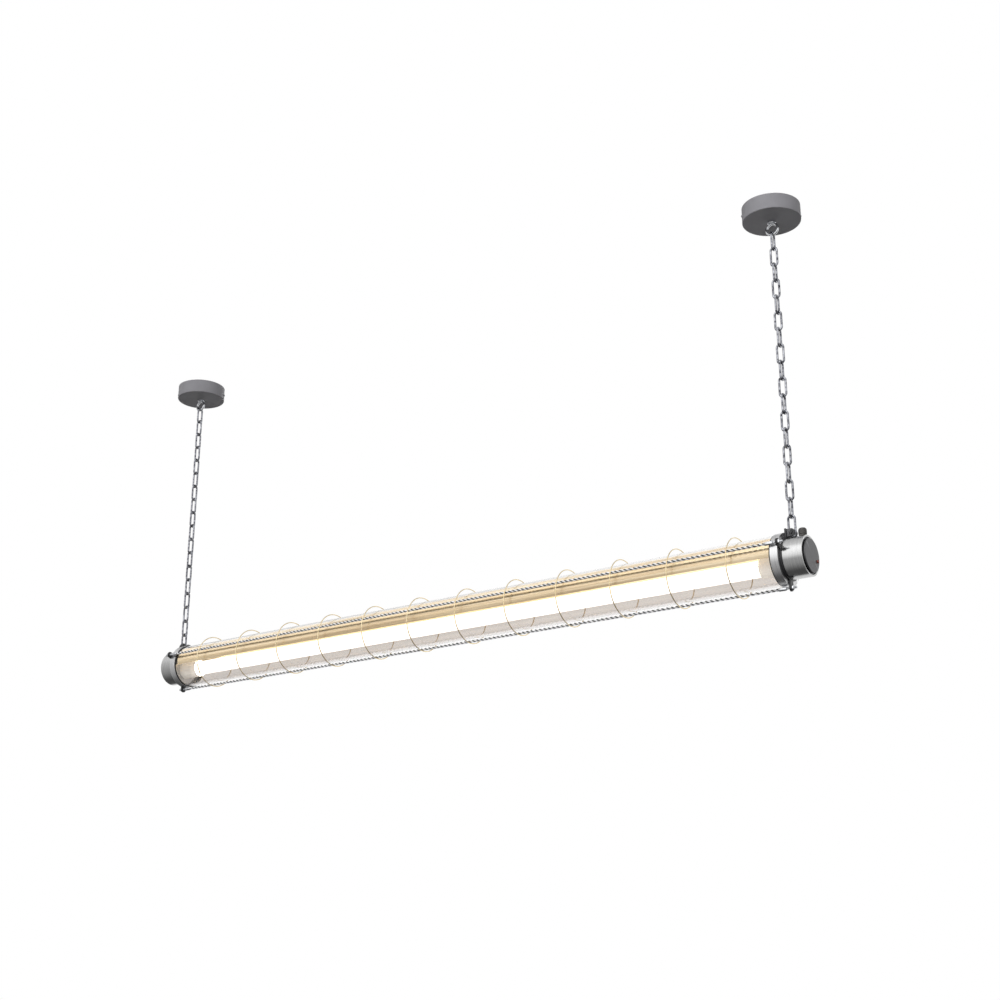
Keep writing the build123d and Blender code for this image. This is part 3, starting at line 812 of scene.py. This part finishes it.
def ring_of(fastener, node, **values):
    """The mesh of a ring of fasteners on a node's piece."""
    pattern = bpy.data.objects.new("pattern", fastener)
    bpy.context.scene.collection.objects.link(pattern)
    mesh = grown(FASTENER_RING, Fastener=pattern, Finish=finish_of(node), **values)
    bpy.data.objects.remove(pattern)
    return mesh


def piece(node, mesh):
    """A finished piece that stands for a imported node, with its name, body, slot and finish."""
    mesh.name = node
    mesh.materials.clear()
    mesh.materials.append(finish_of(node))
    thing = bpy.data.objects.new(node, mesh)
    bpy.context.scene.collection.objects.link(thing)
    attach(thing, body_of[node])
    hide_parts(node)
    return thing


def canopy(side):
    """A ceiling cup with a small screw on either side."""
    node = f"{side}_canopy"
    low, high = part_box(node)
    x, radius = middle(node).x, half_width(node, 0)
    bore, hole = radius - CANOPY_WALL, EYE_SHANK_RADIUS + CANOPY_HOLE_GAP
    floor, floor_inside = low.z, low.z + CANOPY_WALL
    cup = upright(eased([(high.z, bore), (high.z, radius), (floor, radius), (floor, hole),
                         (floor_inside, hole), (floor_inside, bore)], CANOPY_EDGE, steps=4), x)
    screw = along_x(eased([(0, 0), (0, SCREW_RADIUS), (SCREW_RIM, SCREW_RADIUS), (SCREW_CROWN, 0)],
                          0.6 * MM), z=0.0, segments=28)
    screws = ring_of(screw, node, Count=2, Radius=radius - SCREW_SINK, First_Turn=SCREW_TURN,
                     Centre=Vector((x, 0, high.z - SCREW_DROP)))
    piece(node, smooth(combined(cup, screws)))


def eye_bolts():
    low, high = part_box("eye_bolts")
    shapes = []
    for side in SIDES:
        x = middle(f"{side}_canopy").x
        collar_top = reach(f"{side}_canopy", 2)[0]
        centre = Vector((x, 0, low.z + EYE_RADIUS + EYE_WIRE / 2))
        shapes += [wire_ring(centre, EYE_RADIUS, EYE_WIRE),
                   upright_hexagon(EYE_COLLAR_FLATS, collar_top - EYE_COLLAR_HEIGHT, collar_top, x,
                                   0.3 * MM),
                   upright(bar(collar_top, high.z, EYE_SHANK_RADIUS, 0.5 * MM), x, segments=32)]
    piece("eye_bolts", smooth(combined(*shapes)))


def chains():
    for side in SIDES:
        top = middle(f"{side}_top_link")
        below = top - Vector((0, 0, LINK_STEP))
        for node, count, place, turn in ((f"{side}_top_link", 1, top, math.pi / 2),
                                         (f"{side}_chain", LINKS_BELOW_TOP, below, 0.0)):
            piece(node, grown(CHAIN_LINKS, Links=count, Top=place, First_Turn=turn,
                              Finish=finish_of(node)))


def glass():
    start, end = reach("glass_tube", 0)
    bore = GLASS_RADIUS - GLASS_WALL
    tube = along_x(eased([(start, GLASS_RADIUS), (end, GLASS_RADIUS), (end, bore), (start, bore)],
                         0.8 * MM), segments=192)
    # Lamps shine through clear glass
    piece("glass_tube", tube).visible_shadow = False


def reflector():
    """The rolled half pipe against the upper half of the glass."""
    start, end = reach("reflector", 0)
    outer = half_width("reflector", 1)
    turns = 72
    builder = bmesh.new()
    section = []
    for radius, order in ((outer, 1), (outer - SHEET, -1)):
        for step in range(turns + 1)[::order]:
            angle = SHEET_EDGE_TURN + (math.pi - 2 * SHEET_EDGE_TURN) * step / turns
            section.append((-radius * math.cos(angle), TUBE_Z + radius * math.sin(angle)))
    rows = [[builder.verts.new((x, y, z)) for y, z in section] for x in (start, end)]
    for step in range(len(section)):
        beside = (step + 1) % len(section)
        builder.faces.new([rows[0][step], rows[0][beside], rows[1][beside], rows[1][step]])
    for row in rows:
        for step in range(turns):
            builder.faces.new([row[step], row[step + 1], row[-2 - step], row[-1 - step]])
    piece("reflector", closed_mesh(builder))


def hoops():
    low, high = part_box("guard_hoops")
    radius = half_width("guard_hoops", 1) - HOOP_FLATS_REACH * HOOP_WIRE / 2
    first, last = low.x + HOOP_WIRE / 2, high.x - HOOP_WIRE / 2
    mesh = grown(GUARD_HOOPS, Hoops=HOOP_COUNT, First=Vector((first, 0, TUBE_Z)),
                 Pitch=(last - first) / (HOOP_COUNT - 1), Radius=radius, Wire=HOOP_WIRE,
                 Finish=finish_of("guard_hoops"))
    piece("guard_hoops", mesh)


def stays():
    """Twisted pairs of wires, which hold as much steel as the plain packed bars."""
    strand = STAY_RADIUS / 2
    for place in STAY_PLACES:
        node = f"{place}_stay"
        start, end = reach(node, 0)
        centre = middle(node)
        rope = grown(TWISTED_BAR, Start=Vector((start, *centre.yz)), Length=end - start,
                     Strands=STAY_STRANDS, Lay=STAY_LAY, Points=1200, Strand_Radius=strand,
                     Winding_Radius=STAY_RADIUS - strand, Core_Radius=STAY_CORE * strand,
                     Strand_Sides=12, Finish=finish_of(node))
        piece(node, rope)
        stay_terminals(place, centre)


def stay_terminals(place, centre):
    """Hexagon sleeves on the rope's ends, each with its threaded stud."""
    node = f"{place}_stay_terminals"
    tip = reach(node, 0)[1]
    inner = reach("right_end_flange", 0)[0] - TERMINAL_LENGTH / 2
    outer = inner + TERMINAL_LENGTH
    sleeve = lying_hexagon(TERMINAL_FLATS, TERMINAL_LENGTH, 0.5 * MM)
    shapes = [ring_of(sleeve, node, Count=2, Radius=inner, Centre=Vector((0, *centre.yz)))]
    core = STUD_RADIUS - THREAD_RADIUS
    for start in (outer, -tip):
        shapes.append(grown(TWISTED_BAR, Start=Vector((start, *centre.yz)), Length=tip - outer,
                            Strands=1, Lay=STUD_PITCH, Points=300, Strand_Radius=THREAD_RADIUS,
                            Winding_Radius=core, Core_Radius=core, Strand_Sides=4,
                            Finish=finish_of(node)))
    piece(node, smooth(combined(*shapes)))


def stay_nuts():
    """A nut on the stud at each end of each stay."""
    seat = reach("right_end_drum", 0)[0]
    pairs = []
    for place in STAY_PLACES:
        nut = lying_hexagon(NUT_FLATS, NUT_HEIGHT, 0.35 * MM)
        pairs.append(ring_of(nut, "stay_nuts", Count=2, Radius=seat,
                             Centre=Vector((0, *middle(f"{place}_stay").yz))))
    piece("stay_nuts", smooth(combined(*pairs)))


def span(side, kind):
    """How far from the light's middle an end piece starts and ends, and its radius."""
    near, far = sorted(abs(place) for place in reach(f"{side}_{kind}", 0))
    return near, far, half_width(f"{side}_{kind}", 1)


def end_flange(side):
    """The bright ring, with the web that closes the end of the glass."""
    front, back, radius = span(side, "end_flange")
    bore = span(side, "end_gasket")[2]
    web = back - FLANGE_WEB
    flange = along_x(eased([(front, bore), (front, radius), (back, radius), (back, 0), (web, 0),
                            (web, bore)], 0.35 * MM), side=SIDES[side])
    piece(f"{side}_end_flange", flange)


def end_gasket(side):
    front, back, radius = span(side, "end_gasket")
    gasket = along_x(eased([(front, GLASS_RADIUS), (front, radius), (back, radius),
                            (back, GLASS_RADIUS)], 0.3 * MM), side=SIDES[side])
    piece(f"{side}_end_gasket", gasket)


def end_drum(side):
    front, back, radius = span(side, "end_drum")
    bore, floor = radius - DRUM_WALL, front + DRUM_WALL
    drum = along_x(eased([(front, 0), (front, radius), (back, radius), (back, bore), (floor, bore),
                          (floor, 0)], 0.8 * MM), side=SIDES[side])
    piece(f"{side}_end_drum", drum)


def end_cover(side):
    inner, face, radius = span(side, "end_cover")
    shoulder = inner + COVER_PLATE
    cover = along_x(eased([(inner, 0), (inner, radius), (shoulder, radius),
                           (shoulder, COVER_FACE_RADIUS), (face, COVER_FACE_RADIUS), (face, 0)],
                          0.9 * MM), side=SIDES[side])
    piece(f"{side}_end_cover", cover)


def lampholder(side):
    """A pale cup round the lamp's cap, with grooves at its mouth and a tail through the web."""
    mouth, tail, radius = span(side, "lampholder")
    web = span(side, "end_flange")[1] - FLANGE_WEB
    floor = span(side, "holder_rotor")[0] - HOLDER_FLOOR_GAP
    outline = [(mouth, HOLDER_BORE), (mouth, radius)]
    for groove in range(HOLDER_GROOVES):
        start = mouth + HOLDER_GROOVE_START + HOLDER_GROOVE_STEP * groove
        end, bottom = start + 2 * HOLDER_GROOVE_DEPTH, radius - HOLDER_GROOVE_DEPTH
        outline += [(start, radius), (start, bottom), (end, bottom), (end, radius)]
    outline += [(web, radius), (web, HOLDER_TAIL_RADIUS), (tail, HOLDER_TAIL_RADIUS), (tail, 0),
                (floor, 0), (floor, HOLDER_BORE)]
    holder = along_x(eased(outline, 0.5 * MM), z=LAMP_Z, side=SIDES[side])
    piece(f"{side}_lampholder", holder)


def lamp_cap(side):
    cap = along_x(bar(*span(side, "lamp_cap"), 0.8 * MM), z=LAMP_Z, side=SIDES[side], segments=64)
    piece(f"{side}_lamp_cap", cap)


def hanger_pins():
    low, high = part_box("hanger_pins")
    outline = bar(low.y, high.y, half_width("hanger_pins", 2), 0.7 * MM)
    pins = [along_y(outline, middle(f"{side}_canopy").x, middle("hanger_pins").z) for side in SIDES]
    piece("hanger_pins", smooth(combined(*pins)))


def lamp():
    outline = bar(*reach("lamp_tube", 0), half_width("lamp_tube", 1), 1.5 * MM)
    piece("lamp_tube", along_x(outline, z=LAMP_Z, segments=96))


def cover_plug():
    centre = middle("cover_plug")
    outline = bar(*reach("cover_plug", 0), half_width("cover_plug", 1), 1.0 * MM, steps=5)
    piece("cover_plug", along_x(outline, centre.y, centre.z, segments=40))


def gland_body():
    """A hexagon collar on a threaded stem."""
    x = middle("gland_body").x
    low, top = reach("gland_body", 2)
    seat = reach("gland_nut", 2)[0] - GLAND_COLLAR
    flats = upright_hexagon(GLAND_FLATS, seat, top, x, 0.4 * MM)
    stem = upright(bar(low, seat, GLAND_THREAD_RADIUS, 0.3 * MM), x, segments=40)
    piece("gland_body", smooth(combined(flats, stem)))


def gland_nut():
    """A domed nut with grip flats, bored for the cable."""
    x = middle("gland_body").x
    low, top = reach("gland_nut", 2)
    radius = half_width("gland_nut", 0)
    shoulder = low + GLAND_NUT_SIDE
    outline = [(low, GLAND_BORE), (low, radius), (shoulder, radius)]
    for step in range(1, GLAND_DOME_STEPS):
        turn = math.pi / 2 * step / GLAND_DOME_STEPS
        outline.append((shoulder + (top - shoulder) * math.sin(turn),
                        GLAND_BORE + (radius - GLAND_BORE) * math.cos(turn)))
    outline.append((top, GLAND_BORE))
    nut = upright(eased(outline, 0.4 * MM), x, segments=72)
    for vertex in nut.vertices:
        out = Vector((vertex.co.x - x, vertex.co.y))
        grip = low + GRIP_START < vertex.co.z < low + GRIP_END and out.length > GRIP_FROM * radius
        if grip and round(math.degrees(math.atan2(out.y, out.x)) / GRIP_WIDTH) % 3 == 0:
            vertex.co.x = x + GRIP_WAIST * out.x
            vertex.co.y = GRIP_WAIST * out.y
    piece("gland_nut", nut)


for side_name in SIDES:
    canopy(side_name)
    end_flange(side_name)
    end_gasket(side_name)
    piece(f"{side_name}_hanger_plate", softened(f"{side_name}_hanger_plate", 0.4 * MM))
    end_drum(side_name)
    end_cover(side_name)
    lampholder(side_name)
    lamp_cap(side_name)
eye_bolts()
chains()
glass()
reflector()
hoops()
stays()
stay_nuts()
hanger_pins()
lamp()
cover_plug()
gland_body()
gland_nut()

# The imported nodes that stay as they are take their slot's finish
for node_name, packed in frame["nodes"].items():
    if not packed.hide_render:
        packed.data.materials.clear()
        packed.data.materials.append(finish_of(node_name))


# Studio

def pale_floor():
    finish = Finish("pale_floor", Roughness=0.8, Emission_Color=(1, 1, 1, 1))
    seen = finish.node("ShaderNodeLightPath")["Is Camera Ray"]
    blotches, _ = finish.patches(blotches=2.0, grains=200.0)
    finish.shade(Base_Color=finish.two_shades(blotches, (0.78, 0.78, 0.78), (0.80, 0.80, 0.80)),
                 Emission_Strength=finish.number("MULTIPLY", seen, FLOOR_GLOW))
    mesh = bpy.data.meshes.new("floor")
    corners = [(-1, -1), (1, -1), (1, 1), (-1, 1)]
    mesh.from_pydata([(FLOOR_REACH * x, FLOOR_REACH * y, FLOOR_HEIGHT) for x, y in corners], [],
                     [(0, 1, 2, 3)])
    mesh.materials.append(FINISHES["pale_floor"])
    floor = bpy.data.objects.new("floor", mesh)
    bpy.context.scene.collection.objects.link(floor)
    # Glass and metal show the studio behind and around, and not this floor
    floor.visible_transmission = False
    floor.visible_glossy = False
    floor.visible_diffuse = False


def soft_light(name, place, target, size, power, spread):
    data = bpy.data.lights.new(name, "AREA")
    data.shape = "RECTANGLE"
    data.size, data.size_y = size
    data.energy = power
    data.spread = math.radians(spread)
    light = bpy.data.objects.new(name, data)
    light.location = place
    aim = Vector(target) - Vector(place)
    light.rotation_euler = aim.to_track_quat("-Z", "Y").to_euler()
    light.visible_glossy = False
    light.visible_transmission = False
    bpy.context.scene.collection.objects.link(light)


def studio_world(ambient):
    """White behind the object; gloss and glass show soft boxes, and the rest a low even level."""
    world = bpy.data.worlds.new("studio")
    bpy.context.scene.world = world
    world.use_nodes = True
    make = NodeMaker(world.node_tree)
    direction = make.node("ShaderNodeTexCoord")["Generated"]

    def toward(aim, none, full, strength):
        """Light from around one direction; none and full are angles from it."""
        facing = make.node("ShaderNodeVectorMath", {"operation": "DOT_PRODUCT"}, i0=direction,
                           i1=Vector(aim).normalized())["Value"]
        return make.node("ShaderNodeMapRange", {"interpolation_type": "SMOOTHSTEP"}, Value=facing,
                         From_Min=math.cos(math.radians(none)),
                         From_Max=math.cos(math.radians(full)), To_Max=strength)[0]

    def together(*levels):
        total = levels[0]
        for level in levels[1:]:
            total = make.number("ADD", total, level)
        return total

    def either(chosen, value, other):
        """One value for rays of a kind, and another for the rest."""
        return make.node("ShaderNodeMix", Factor=chosen, A=other, B=value)["Result"]

    up, front, rear = (0.0, -0.03, 1.0), (0.0, -0.98, 0.17), (0.0, 1.0, 0.0)
    ends = together(toward((1.0, 0.0, 0.15), 50, 15, 0.6), toward((-1.0, 0.0, 0.15), 50, 15, 0.6))
    # Metal in the open shows a long soft box over the front, others above and at each end,
    # and white behind
    gloss = together(toward((0.0, -0.90, 0.43), 48, 10, 1.2), toward(front, 100, 30, 0.42),
                     toward(rear, 60, 45, 0.9), toward((0.0, -0.1, 1.0), 70, 20, 0.65), ends, 0.10)
    # The sheet behind the glass shows the whole ceiling, and clear glass the white behind it
    ceiling = together(toward(up, 95, 25, 1.26), toward(front, 100, 30, 0.58), ends, 0.08)
    through = make.number("MAXIMUM", ceiling, toward(rear, 95, 75, 1.0))

    rays = make.node("ShaderNodeLightPath")
    level = either(rays["Is Glossy Ray"], gloss, ambient)
    level = either(rays["Is Transmission Ray"], through, level)
    level = either(rays["Is Camera Ray"], 1.0, level)
    make.feed(make.nodes["Background"], Color=(1, 1, 1, 1), Strength=level)


def photograph_camera():
    data = bpy.data.cameras.new("camera")
    data.lens = CAMERA_LENS
    data.sensor_width = 36.0
    camera = bpy.data.objects.new("camera", data)
    camera.location = CAMERA_PLACE
    flat = math.cos(CAMERA_PITCH)
    forward = Vector((math.sin(CAMERA_YAW) * flat, math.cos(CAMERA_YAW) * flat,
                      math.sin(CAMERA_PITCH)))
    camera.rotation_euler = forward.to_track_quat("-Z", "Y").to_euler()
    bpy.context.scene.collection.objects.link(camera)
    bpy.context.scene.camera = camera


pale_floor()
studio_world(ambient=0.075)
soft_light("key", (2.0, -2.8, 1.9), (0, 0, -0.35), size=(2.2, 1.6), power=37, spread=110)
soft_light("fill", (-2.8, -2.4, 0.3), (0, 0, -0.4), size=(2.0, 2.0), power=10, spread=110)
soft_light("rear", (-1.2, 3.2, 0.9), (0, 0, -0.35), size=(2.6, 1.6), power=34, spread=110)
soft_light("low_fill", (0.6, -2.8, -1.3), (0, 0, -0.58), size=(2.4, 1.0), power=9, spread=90)
photograph_camera()
bpy.context.scene.view_settings.view_transform = "Standard"
